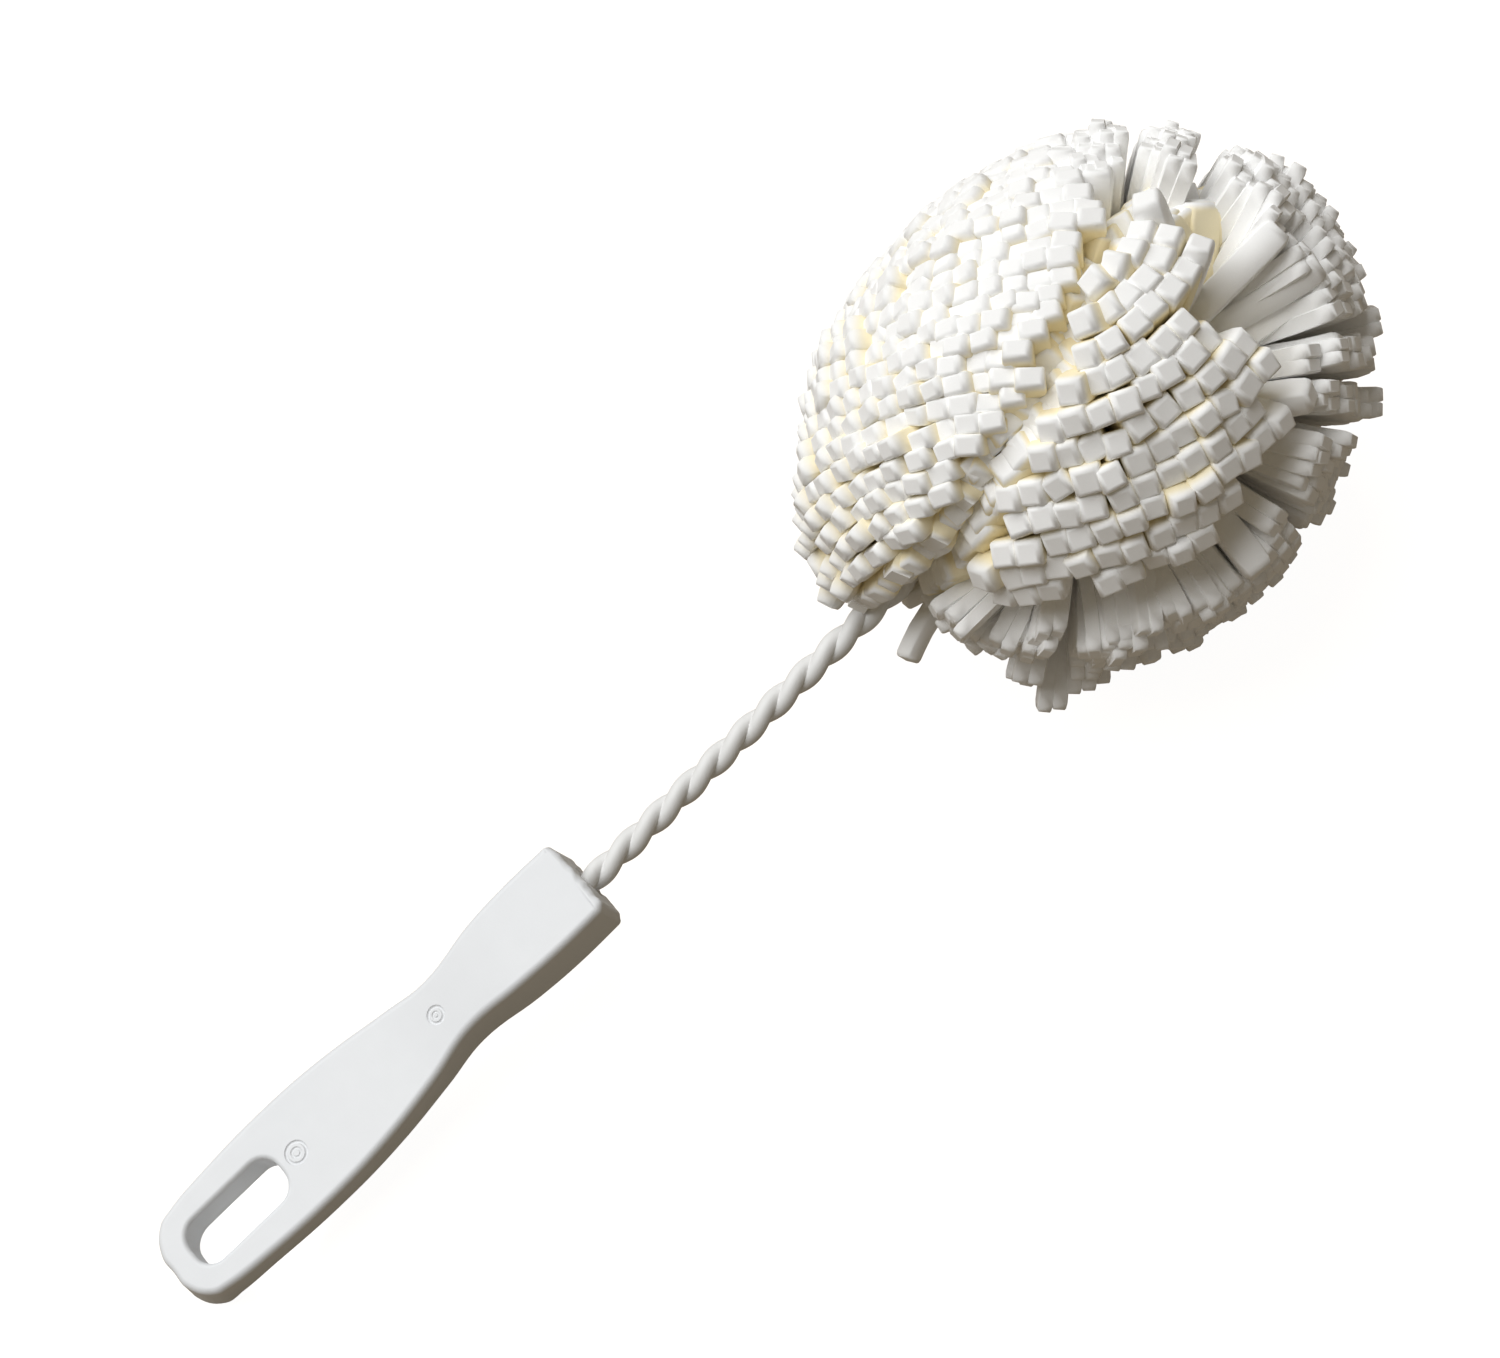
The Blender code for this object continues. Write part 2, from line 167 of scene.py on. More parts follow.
def deselectAll():
    if bpy.context.mode != "OBJECT":
        enter("OBJECT")
    bpy.ops.object.select_all(action="DESELECT")


def pick(obj):
    deselectAll()
    obj.select_set(True)
    bpy.context.view_layer.objects.active = obj


def mark(obj, kind, test):
    # leaves the object in edit mode with those points, edges or faces selected that pass the test
    enter("EDIT")
    bpy.ops.mesh.select_mode(type=kind)
    bpy.ops.mesh.select_all(action="DESELECT")
    enter("OBJECT")
    points = obj.data.vertices
    if kind == "VERT":
        for vert in points:
            vert.select = test(vert.co)
    elif kind == "EDGE":
        for edge in obj.data.edges:
            edge.select = test(*(points[number].co for number in edge.vertices))
    else:
        for face in obj.data.polygons:
            face.select = test(face)
    enter("EDIT")


def pointsOf(obj):
    places = np.zeros(len(obj.data.vertices) * 3, np.float32)
    obj.data.vertices.foreach_get("co", places)
    return places.reshape(-1, 3).astype(float)


def setPoints(obj, places):
    obj.data.vertices.foreach_set("co", places.astype(np.float32).ravel())
    obj.data.update()


def worldPoints(places):
    # points of the brush's own frame, in the row frame
    turn = np.array(toWorld.to_3x3())
    return places @ turn.T + np.array(toWorld.translation)


def applyAll(obj):
    pick(obj)
    for modifier in list(obj.modifiers):
        bpy.ops.object.modifier_apply(modifier=modifier.name)
    bpy.ops.object.transform_apply(location=True, rotation=True, scale=True)


def meshOf(name, curve):
    obj = newObject(name, curve)
    pick(obj)
    bpy.ops.object.convert(target="MESH")
    return bpy.context.object


def faceOut(obj):
    pick(obj)
    enter("EDIT")
    selectAll()
    bpy.ops.mesh.normals_make_consistent(inside=False)
    enter("OBJECT")


camera = {
    "place": (-0.1038, -0.3057, 0.7557),
    "turn": (0.4411, 0.0067, -0.7108),  # its axis, as long as its angle
    "focalPixels": 4200,
    "photoWide": 1500,
    "photoHigh": 1358,
    "sensor": 36.0,
    "reach": (0.05, 20),
}


def cameraTurn():
    turn = Vector(camera["turn"])
    return Matrix.Rotation(turn.length, 4, turn.normalized())


def addCamera():
    data = bpy.data.cameras.new("photoCamera")
    data.sensor_width = camera["sensor"]
    data.lens = camera["sensor"] * camera["focalPixels"] / camera["photoWide"]
    data.clip_start, data.clip_end = camera["reach"]
    obj = newObject("photoCamera", data)
    obj.matrix_world = Matrix.Translation(camera["place"]) @ cameraTurn()
    scene.camera = obj


studio = {
    "keyDirection": (-0.16, 0.48, 0.86),
    "keyStrength": 2.78,
    "keyAngle": math.radians(64),
    "keyColour": (0.97, 0.985, 1.0),
    "skyColour": (1.0, 0.90, 0.74),
    "skyStrength": 0.17,
    "floorRadius": 6.0,
    "floorColour": (0.26, 0.213, 0.152),
    "floorGrain": 0.4,
    "floorSpread": 1.04,
    "floorGlow": 0.955,
    # a painted pool of light: the floor is paler under the slot, so that the slot's walls are lit from
    # there
    "paintedLightColour": (0.95, 0.94, 0.92),
    "paintedLightPlace": (-0.1275, 0.0, 0.0),
    "paintedLightReach": (0.008, 0.015),
}


def addLamp():
    data = bpy.data.lights.new("keyLamp", "SUN")
    data.energy = studio["keyStrength"]
    data.angle = studio["keyAngle"]
    data.color = studio["keyColour"]
    lamp = newObject("keyLamp", data)
    lamp.rotation_mode = "QUATERNION"
    lamp.rotation_quaternion = Vector(studio["keyDirection"]).to_track_quat("Z", "Y")


def addSky():
    # warm and weak to the brush, white to the camera
    world = bpy.data.worlds.new("studioSky")
    scene.world = world
    world.use_nodes = True
    sky = Nodes(world.node_tree)
    back = sky.tree.nodes["Background"]
    sky.plug(back.inputs["Color"], (*studio["skyColour"], 1))
    sky.plug(back.inputs["Strength"], studio["skyStrength"])
    lit = Link(sky, back.outputs[0])
    seen = sky.add("Background", inputs={"Color": (1, 1, 1, 1), "Strength": 1.0})
    direct = sky.add("LightPath", out="Is Camera Ray")
    either = direct.maths("MAXIMUM", direct, sky.add("LightPath", out="Is Transmission Ray"))
    sky.show("World Output", sky.add("MixShader", inputs={0: either, 1: lit, 2: seen}))


def addFloor():
    # a wide disc, pale to the camera and darker to the brush, so that the underside stays in shade
    deselectAll()
    bpy.ops.mesh.primitive_circle_add(vertices=96, radius=studio["floorRadius"], fill_type="NGON")
    floor = bpy.context.object
    floor.name = "studioFloor"
    finish = Finish("studioFloorPaint")
    grain = finish.noise(studio["floorGrain"])
    brighter = tuple(part * studio["floorSpread"] for part in studio["floorColour"])
    plain = finish.mix(grain, studio["floorColour"], brighter)
    # painted pool of light: the floor's colour goes paler near the spot under the slot
    off = {0: finish.add("TexCoord", out="Object"), 1: studio["paintedLightPlace"]}
    far = finish.add("VectorMath", {"operation": "DISTANCE"}, off, out="Value").above(*studio["paintedLightReach"])
    colour = finish.mix(far, studio["paintedLightColour"], plain)
    finish.feed(Base_Color=colour, Roughness=1.0, Specular_IOR_Level=0.0)
    matt = Link(finish, finish.shader.outputs[0])
    glow = finish.add("Emission", inputs={"Color": (1, 1, 1, 1), "Strength": studio["floorGlow"]})
    both = finish.add("AddShader", inputs={0: matt, 1: glow})
    direct = finish.add("LightPath", out="Is Camera Ray")
    finish.show("Material Output", finish.add("MixShader", inputs={0: direct, 1: matt, 2: both}))
    finish.paint(floor)


addCamera()
addLamp()
addSky()
addFloor()
scene.view_settings.view_transform = "Standard"
print("camera, light and floor set")


head = {
    "station": 0.241,
    "length": 0.117,
    "width": 0.097,
    "setback": 0.0043,
    "spreadAcross": math.radians(87),
    "spreadAlong": math.radians(66),
    "forwardLean": math.radians(11),
    "stemRounding": 0.23,
    "tipRounding": 0.50,
    "cleft": 0.0025,
    "rimAngle": math.radians(88.6),
    "turn": math.radians(56),
    "turnMiddle": math.radians(9),
    "legHeight": 0.007125,
    "sheets": 14,
    "seed": 7,
    "floorGap": 0.0002,
    "smoothAngle": math.radians(62),
}
# the thin middle of each sheet
web = {
    "length": 0.050,
    "middleReach": 0.0130,
    "endReach": 0.0052,
    "pitch": 0.0008,
    "bendShare": 0.2,
    "edgeShare": 1.15,
    "lengthShare": 0.98,
    "cuts": (13, 4),
    "thick": 0.0003,
}
# the pattern of a finger, one unit wide and long: shares of its length as cut, where they go, how wide it
# is there, and how much wider where its neighbours crowd it
fingerShape = {
    "cutRings": (0, 0.1984, 0.3968, 0.5952, 0.7937, 0.9921, 1),
    "rings": (0, 0.3, 0.6, 0.87, 0.945, 0.994, 1),
    "widths": (0.45, 0.8, 1.0, 1.0, 1.0, 1.0, 1.0),
    "crowding": (0, 0, 0, 0.10, 0.11, 0.0, 0.0),
    "fillFrom": 0.9,
    "edge": 0.07,
    "cuts": 4,
    "rim": 0.06,
    "crown": 0.008,
    "inner": 0.07,
}
# how the fingers grow
fringe = {
    "startShare": 0.97,
    "rootShare": 0.9,
    "rootJitter": 0.01,
    "rootGrid": (57, 91),
    "bow": 0.30,
    "straightShare": 0.55,
    "lengthJitter": 0.0005,
    "clump": 0.0017,
    "clumpSize": 0.011,
    "placeJitter": 0.00032,
    "turnJitter": math.radians(7),
    "sizeJitter": 0.05,
    "stemRoom": 0.0034,
    "openSwell": 0.12,
    # how far below the tip the painted shade turns a finger cream: soon where fingers crowd, far down where
    # they stand open
    "crowdedFade": 0.0026,
    "openFade": 0.062,
    "leadSize": 0.66,
    # a finger that stands open shows as two thin ones, side on
    "splitFrom": 0.12,
    "splitGap": 1.06,
    "splitJitter": 0.0008,
}
# the two halves: the pole of their rows in the photo's right, up and back directions, the spacing along
# and between rows, the fingers' width and thickness, how much longer the end by the stem is, how much
# shorter the fingers are, and how much crowding fills their tips
halves = {
    1: {
        "pole": (-0.05, 0.96, -0.26), "spacing": 0.0052, "rowPitch": 0.0040,
        "wide": 0.0049, "thick": 0.0037, "rear": 1.05, "trim": 0.0019, "fill": 0.04,
    },
    -1: {
        "pole": (-0.33, 0.69, 0.64), "spacing": 0.0053, "rowPitch": 0.0058,
        "wide": 0.0049, "thick": 0.0048, "rear": 0.83, "trim": 0.0006, "fill": 0.0,
    },
}
# the cleft: its line over the surface as pixels of the photo from the stem to the tip, the depths between
# which the surface is looked for, and half its width along the head
cleft = {
    "path": [(930, 570), (985, 470), (1036, 400), (1050, 345), (1067, 294), (1106, 220), (1135, 180)],
    "search": (0.12, -0.02),
    "steps": 400,
    "shares": (0, 0.25, 0.47, 1),
    "halfWidths": (0.0036, 0.0034, 0.0009, 0.0003),
}
# short fingers down in the cleft: how far their tips stay under the surface along the head
cleftFill = {
    "shares": (0, 0.4, 0.55, 1),
    "depths": (0.0040, 0.0045, 0.0085, 0.0085),
    "depthJitter": 0.0004,
    "span": 0.94,
    "pitch": 0.0032,
    "side": 0.0019,
    "sideJitter": 0.0004,
    "swell": 1.25,
    # how many times sooner the painted shade turns these fingers cream
    "fadeCut": 3,
}
# slits in the rim: angle round the photo's middle and half the slit's angle, how far their neighbours make
# room, how much a finger needs, and how far from the photo's middle plane they reach
slits = {
    "places": [(15.5, 1.0), (5.4, 1.4), (-4.5, 1.6), (80, 0.8), (64, 1.7), (-94.5, 1.3), (-30, 0.9)],
    "room": 12,
    "finger": 3.3,
    "depth": 0.032,
}
# where the fingers part: angle round the photo's middle, angle from the line of sight, and the parting's
# width, with the waves of its ragged edge as depth, count and start; angles in degrees
parting = {
    "edge": [
        (-170, 60, 0), (-140, 56, 0), (-118, 50, 15), (-90, 48, 21), (-60, 45, 15), (-32, 37, 21),
        (-14, 44, 8), (2, 36, 12), (12, 29, 20), (30, 26, 28), (48, 28, 27), (66, 34, 22), (88, 44, 12),
        (104, 55, 0), (180, 60, 0),
    ],
    "waves": [(2.5, 6, 40), (2.0, 13, 0)],
    "edgeJitter": 1.2,
    "widthJitter": (0.8, 1.1),
    "fullWidth": 14,
    "limit": 100,
    "end": (120, 20),
    "openOver": 6,
    "bareOver": 1.5,
}
# the stretch of the stem that lies bare before the cleft, as pixels of the photo, and half its width there
bareStem = {"low": (840, 646), "high": (924, 574), "half": 24}
# fingers that stray from the rest: pixel of the photo across and down, depth towards the camera
strays = [
    (790, 520, 0.004), (795, 468, 0.006), (816, 612, -0.004), (820, 560, 0.002),
    (1044, 718, -0.004), (1030, 706, -0.010), (1060, 708, -0.012), (1016, 690, -0.004), (1040, 700, 0.003),
    (1052, 716, -0.009), (1026, 694, 0.000), (1080, 692, -0.008), (1098, 676, -0.012), (1074, 672, -0.003),
    (1088, 684, -0.004), (1000, 660, -0.004), (975, 655, -0.008),
    (1382, 318, 0.0), (1378, 400, -0.004), (1112, 124, 0.004), (1160, 128, 0.002), (808, 362, 0.004),
]
# slim strays that come from elsewhere: the tip, and a place that the finger bends towards on its way
ledStrays = [
    ((906, 664, -0.002), (950, 555, -0.004)),
    ((886, 617, -0.010), (950, 585, -0.012)),
    ((901, 603, -0.012), (960, 572, -0.014)),
]

headMiddle = np.array([head["station"] - head["setback"], 0, 0])
squash = np.array([head["width"] / head["length"], 1, 1])  # makes a ball of the head
# two thin combs for each of the stack's sheets, by how far they lie from the middle of the stack
rowLevels = [(number + 0.5) / 2 - head["sheets"] / 2 for number in range(2 * head["sheets"])]
# the photo's right, up and towards-the-camera directions and its eye, in the brush's own frame
toBrush = toWorld.to_3x3().inverted()
photoRight, photoUp, photoBack = (np.array(toBrush @ cameraTurn().to_3x3().col[i]) for i in range(3))
photoEye = np.array(toWorld.inverted() @ Vector(camera["place"]))


def photoPoint(across, down, depth):
    # the point seen at a pixel of the photo, at a depth towards the camera from the head's middle
    ray = photoRight * (across - camera["photoWide"] / 2) - photoUp * (down - camera["photoHigh"] / 2)
    ray = ray / camera["focalPixels"] - photoBack
    return photoEye + ray * ((photoEye - headMiddle) @ photoBack - depth)


def photoPixel(place):
    # the pixel of the photo at which a point is seen
    away = place - photoEye
    scale = camera["focalPixels"] / -(away @ photoBack)
    across = camera["photoWide"] / 2 + (away @ photoRight) * scale
    return np.array([across, camera["photoHigh"] / 2 - (away @ photoUp) * scale])


def overStem(place):
    # whether a point hides the stretch of the stem that lies bare
    low, high = np.array(bareStem["low"]), np.array(bareStem["high"])
    way = high - low
    off = photoPixel(place) - low
    share = (off @ way) / (way @ way)
    aside = abs(off[0] * way[1] - off[1] * way[0]) / np.linalg.norm(way)
    return 0 < share < 1 and aside < bareStem["half"] and (place - headMiddle) @ photoBack > 0


def turned(places, angle):
    # turns points about the brush's axis
    x, y, z = places[..., 0], places[..., 1], places[..., 2]
    c, s = np.cos(angle), np.sin(angle)
    return np.stack([x, y * c - z * s, y * s + z * c], -1)


def headTurn(share):
    return head["turnMiddle"] - head["turn"] / 2 * share


def fingerAngles(across, along):
    draw = head["stemRounding"] + (head["tipRounding"] - head["stemRounding"]) * (1 + along) / 2
    up = across * np.sqrt(1 - draw * along * along)
    ahead = along * np.sqrt(1 - draw * across * across)
    return up * head["spreadAcross"], ahead * head["spreadAlong"] + head["forwardLean"]


def tipPlace(across, along, side):
    # where a finger ends: across and along are shares from -1 to 1, side is the half of the head
    up, ahead = fingerAngles(across * side, along)
    angle = np.minimum(np.hypot(up, ahead), head["rimAngle"])
    way = np.arctan2(up, ahead)
    ring = np.sin(angle)
    wide = head["width"] / 2
    out = head["cleft"] + (wide - head["cleft"]) * np.cos(angle)
    x = ring * np.cos(way) * head["length"] / 2 - head["setback"]
    places = turned(np.stack([x, side * out, side * ring * np.sin(way) * wide], -1), headTurn(along))
    places[..., 0] += head["station"]
    return places


def webReach(share):
    swell = math.sqrt(max(1 - share * share, 0))
    return web["endReach"] + (web["middleReach"] - web["endReach"]) * swell


def fanAngle(level, share):
    up, ahead = fingerAngles(abs(level) * 2 / head["sheets"], share)
    angle = np.hypot(up, ahead)
    return float(np.arcsin(np.sin(angle) * up / angle)) if angle else 0.0


def webPlace(level, share, side, reach):
    # a point of a sheet's web, which bends round the nearer leg of the wire and then runs straight
    over = 1 if level > 0 else -1
    bend = head["legHeight"] - abs(level) * web["pitch"]
    fan = fanAngle(level, share)
    angle = min(reach / bend, fan)
    straight = max(reach - bend * fan, 0)
    out = bend * math.sin(angle) + straight * math.cos(fan)
    up = head["legHeight"] - bend * math.cos(angle) + straight * math.sin(fan)
    place = turned(np.array([share * web["length"] / 2, side * out, over * up]), headTurn(share))
    place[0] += head["station"]
    return place


def cleftTurns():
    # the cleft's angle about the brush's axis, station by station, where the photo's line meets the surface
    stations, angles = [], []
    for across, down in cleft["path"]:
        near, far = (photoPoint(across, down, depth) for depth in cleft["search"])
        for share in np.linspace(0, 1, cleft["steps"]):
            place = near + (far - near) * share - headMiddle
            if np.linalg.norm(place * squash) < head["width"] / 2:
                break
        stations.append(place[0])
        angles.append(math.atan2(-place[1], place[2]))
    return np.array(stations), np.array(angles)


def isFree(place, side, turns):
    # whether a finger may end here, clear of the cleft and of the stem
    level = turned(place, -np.interp(place[0], *turns))
    gap = np.interp(place[0] / head["length"] + 0.5, cleft["shares"], cleft["halfWidths"])
    inCleft = level[1] * side < gap + halves[side]["thick"] / 2
    byStem = place[0] < 0 and math.hypot(place[1], place[2]) < fringe["stemRoom"]
    return not (inCleft or byStem or overStem(place + headMiddle))


def layTips(side, turns):
    # rows of evenly spaced fingers, each row a ring about the half's pole
    half = halves[side]
    right, up, back = half["pole"]
    pole = unit(photoRight * right + photoUp * up + photoBack * back)
    first = unit(np.cross(pole, photoBack))
    second = np.cross(pole, first)
    wide = head["width"] / 2
    middling = (head["length"] + 2 * head["width"]) / 6  # the head's mean radius
    tips, axes = [], []
    for ring in range(int(math.pi * middling / half["rowPitch"])):
        polar = (ring + 0.5) * half["rowPitch"] / middling
        count = max(int(2 * math.pi * math.sin(polar) * middling / half["spacing"]), 1)
        for number in range(count):
            around = 2 * math.pi * (number + 0.5 * (ring % 2)) / count
            flat = first * math.cos(around) + second * math.sin(around)
            way = pole * math.cos(polar) + flat * math.sin(polar)
            long = head["length"] / 2 * (half["rear"] if way[0] < 0 else 1)
            place = way / math.sqrt((way[0] / long) ** 2 + (way[1] ** 2 + way[2] ** 2) / wide ** 2)
            if isFree(place, side, turns):
                tips.append(place + headMiddle)
                axes.append(np.cross(pole, flat))
    return np.array(tips), np.array(axes)


def layFillers(side, turns, draw):
    # the short fingers between the halves
    tips, axes = [], []
    for face in (1, -1):
        angle = -cleftFill["span"] * math.pi / 2
        while angle < cleftFill["span"] * math.pi / 2:
            long = head["length"] / 2 * (halves[side]["rear"] if angle < 0 else 1)
            deep = np.interp(math.sin(angle) / 2 + 0.5, cleftFill["shares"], cleftFill["depths"])
            deep += draw.gauss(0, cleftFill["depthJitter"])
            x = math.sin(angle) * (long - deep)
            high = math.cos(angle) * (head["width"] / 2 - deep)
            turn = np.interp(x, *turns)
            aside = side * (cleftFill["side"] + abs(draw.gauss(0, cleftFill["sideJitter"])))
            tips.append(turned(np.array([x, aside, face * high]), turn) + headMiddle)
            axes.append(turned(np.array([math.cos(angle), 0, -face * math.sin(angle)]), turn))
            angle += cleftFill["pitch"] / (head["length"] / 2)
    return np.array(tips), np.array(axes)


def assignRoots(tips, side):
    # which comb each finger belongs to, and where along the comb it grows, in the order of the tips
    shares = [np.linspace(-1, 1, count) for count in fringe["rootGrid"]]
    grid = [(across, along) for across in shares[0] for along in shares[1]]
    tree = KDTree(len(grid))
    for number, (across, along) in enumerate(grid):
        tree.insert(unit(tipPlace(across, along, side) - headMiddle), number)
    tree.balance()
    spread = np.random.default_rng(head["seed"]).uniform(-1, 1, (len(tips), 2)) * fringe["rootJitter"]
    found = np.array([grid[tree.find(unit(tip - headMiddle))[1]] for tip in tips]) + spread
    order = np.argsort(found[:, 0])
    row, start = np.zeros(len(tips), int), np.zeros(len(tips))
    for number, members in enumerate(np.array_split(order, len(rowLevels))):
        row[members] = number
        ranked = members[np.argsort(found[members, 1])]
        start[ranked] = np.linspace(-1, 1, len(ranked))
    return row, start


def squeeze(way):
    # moves an angle round the photo's middle out of the slits, between the neighbouring slits
    middles = [middle for middle, half in slits["places"]]
    middle, half = slits["places"][int(np.argmin([abs(way - middle) for middle in middles]))]
    beyond = [other for other in middles if (other - middle) * (way - middle) > 0]
    reach = min([abs(other - middle) / 2 for other in beyond] + [slits["room"]])
    clear = min(half + slits["finger"], reach)
    off = abs(way - middle)
    return way if off > reach else middle + math.copysign(clear + off * (1 - clear / reach), way - middle)


def partFinger(tip, draw):
    # fingers round the limb sag outwards, which parts them from those on top, and slits open in the rim:
    # the finger's new tip, how open it stands, how bare its sides are, and whether a slit holds it straight
    place = (tip - headMiddle) * squash
    reach = np.linalg.norm(place)
    polar = math.degrees(math.acos(place @ photoBack / reach))
    way = math.degrees(math.atan2(place @ photoUp, place @ photoRight))
    ways, edges, widths = zip(*parting["edge"])
    ragged = 0
    for deep, count, start in parting["waves"]:
        ragged += deep * math.sin(math.radians(way * count + start))
    ragged += draw.gauss(0, parting["edgeJitter"])
    edge = float(np.interp(way, ways, edges)) + ragged
    width = float(np.interp(way, ways, widths))
    end, endOver = parting["end"]
    over = smooth(width / parting["fullWidth"]) * smooth((end - polar) / endOver)
    parted = over * smooth((polar - edge) / parting["openOver"])
    bare = over * smooth((polar - edge) / parting["bareOver"] + 1)
    limit = parting["limit"]
    if edge < polar < limit and width > 0:
        clear = width * draw.uniform(*parting["widthJitter"])
        polar = limit - (limit - polar) * (limit - edge - clear) / (limit - edge)
    angle, turn = math.radians(polar), math.radians(way)
    flat = photoRight * math.cos(turn) + photoUp * math.sin(turn)
    place = (photoBack * math.cos(angle) + flat * math.sin(angle)) * reach / squash
    turn = 0
    if abs(place @ photoBack) < slits["depth"]:
        way = math.atan2(place @ photoUp, place @ photoRight)
        turn = math.radians(squeeze(math.degrees(way))) - way
        deep = photoBack * (place @ photoBack)
        flat = place - deep
        place = deep + flat * math.cos(turn) + np.cross(photoBack, flat) * math.sin(turn)
    return {"tip": place + headMiddle, "parted": parted, "bare": bare, "straight": turn != 0, "lead": None}


def setStrays(fingers, side):
    # each stray is the finger of this half that ends nearest to it, if it lies on this half's side
    tips = np.array([finger["tip"] for finger in fingers])
    for place, lead in ledStrays + [(place, None) for place in strays]:
        target = photoPoint(*place)
        if turned(target - headMiddle, -head["turnMiddle"])[1] * side < 0:
            continue
        number = int(np.argmin(np.linalg.norm(tips - target, axis=1)))
        tips[number] = target
        fingers[number]["tip"] = target
        if lead:
            fingers[number]["lead"] = photoPoint(*lead)


def layHalf(side, turns, draw):
    # all the fingers of one half, each with its tip, its comb and its place on it
    tips, axes = layTips(side, turns)
    fingers = [partFinger(tip, draw) for tip in tips]
    for finger, axis, row, start in zip(fingers, axes, *assignRoots(tips, side)):
        # open fingers with bare sides stay white further down, their painted shade starting lower
        fade = (fringe["openFade"] - fringe["crowdedFade"]) * math.sqrt(finger["bare"])
        swell = 1 + fringe["openSwell"] * finger["parted"]
        finger.update(axis=axis, row=row, start=start, swell=swell, fade=fringe["crowdedFade"] + fade)
    setStrays(fingers, side)
    tips, axes = layFillers(side, turns, draw)
    plain = {"parted": 0, "straight": False, "lead": None, "swell": cleftFill["swell"]}
    # painted shade: the fingers down in the cleft turn cream soon below their tips
    plain["fade"] = fringe["crowdedFade"] / cleftFill["fadeCut"]
    for tip, axis, row, start in zip(tips, axes, *assignRoots(tips, side)):
        fingers.append({"tip": tip, "axis": axis, "row": row, "start": start, **plain})
    return fingers


def makeFinger():
    # one square foam finger: unit width, its length from 0 to 1 up +Z, with softened edges and tip
    deselectAll()
    bpy.ops.mesh.primitive_cube_add(size=1.0, location=(0, 0, 0.5))
    finger = bpy.context.object
    finger.name = "fingerPattern"
    applyAll(finger)
    mark(finger, "EDGE", lambda a, b: True)
    bpy.ops.mesh.bevel(offset=fingerShape["edge"], segments=1, affect="EDGES")
    mark(finger, "EDGE", lambda a, b: abs(a.z - b.z) > 0.5)
    bpy.ops.mesh.subdivide(number_cuts=fingerShape["cuts"])
    mark(finger, "FACE", lambda face: face.normal.z > 0.9)
    bpy.ops.mesh.inset(thickness=fingerShape["rim"], depth=0.0)
    bpy.ops.transform.translate(value=(0, 0, fingerShape["crown"]))
    bpy.ops.mesh.inset(thickness=fingerShape["inner"], depth=0.0)
    enter("OBJECT")
    places = pointsOf(finger)
    shares = places[:, 2] / places[:, 2].max()
    places[:, 2] = np.interp(shares, fingerShape["cutRings"], fingerShape["rings"])
    setPoints(finger, places)
    return finger


def bendFinger(shape, line, axes, size, roll, crowded, fill):
    # the pattern's points laid along a gently bowed line from the web to the tip
    share = shape[:, 2][:, None]
    root, control, tip = line
    middle = (1 - share) ** 2 * root + 2 * share * (1 - share) * control + share ** 2 * tip
    way = (1 - share) * (control - root) + share * (tip - control)
    way /= np.linalg.norm(way, axis=1)[:, None]
    axis = (1 - share) * axes[0] + share * axes[1]
    axis -= (axis * way).sum(1)[:, None] * way
    axis /= np.linalg.norm(axis, axis=1)[:, None]
    other = np.cross(way, axis)
    c, s = math.cos(roll), math.sin(roll)
    axis, other = axis * c + other * s, other * c - axis * s
    swell = np.interp(share, fingerShape["rings"], fingerShape["widths"])
    # neighbours meet under their tips
    swell += np.interp(share, fingerShape["rings"], fingerShape["crowding"]) * crowded
    swell += fill * crowded * (share > fingerShape["fillFrom"])
    return middle + (axis * shape[:, :1] * size[0] + other * shape[:, 1:2] * size[1]) * swell


def addDepth(obj, values):
    # 1 at a finger's tip, less further down, for the painted shade that turns the foam cream between the
    # fingers
    layer = obj.data.attributes.new("fingerDepth", "FLOAT", "POINT")
    layer.data.foreach_set("value", np.asarray(values, np.float32))


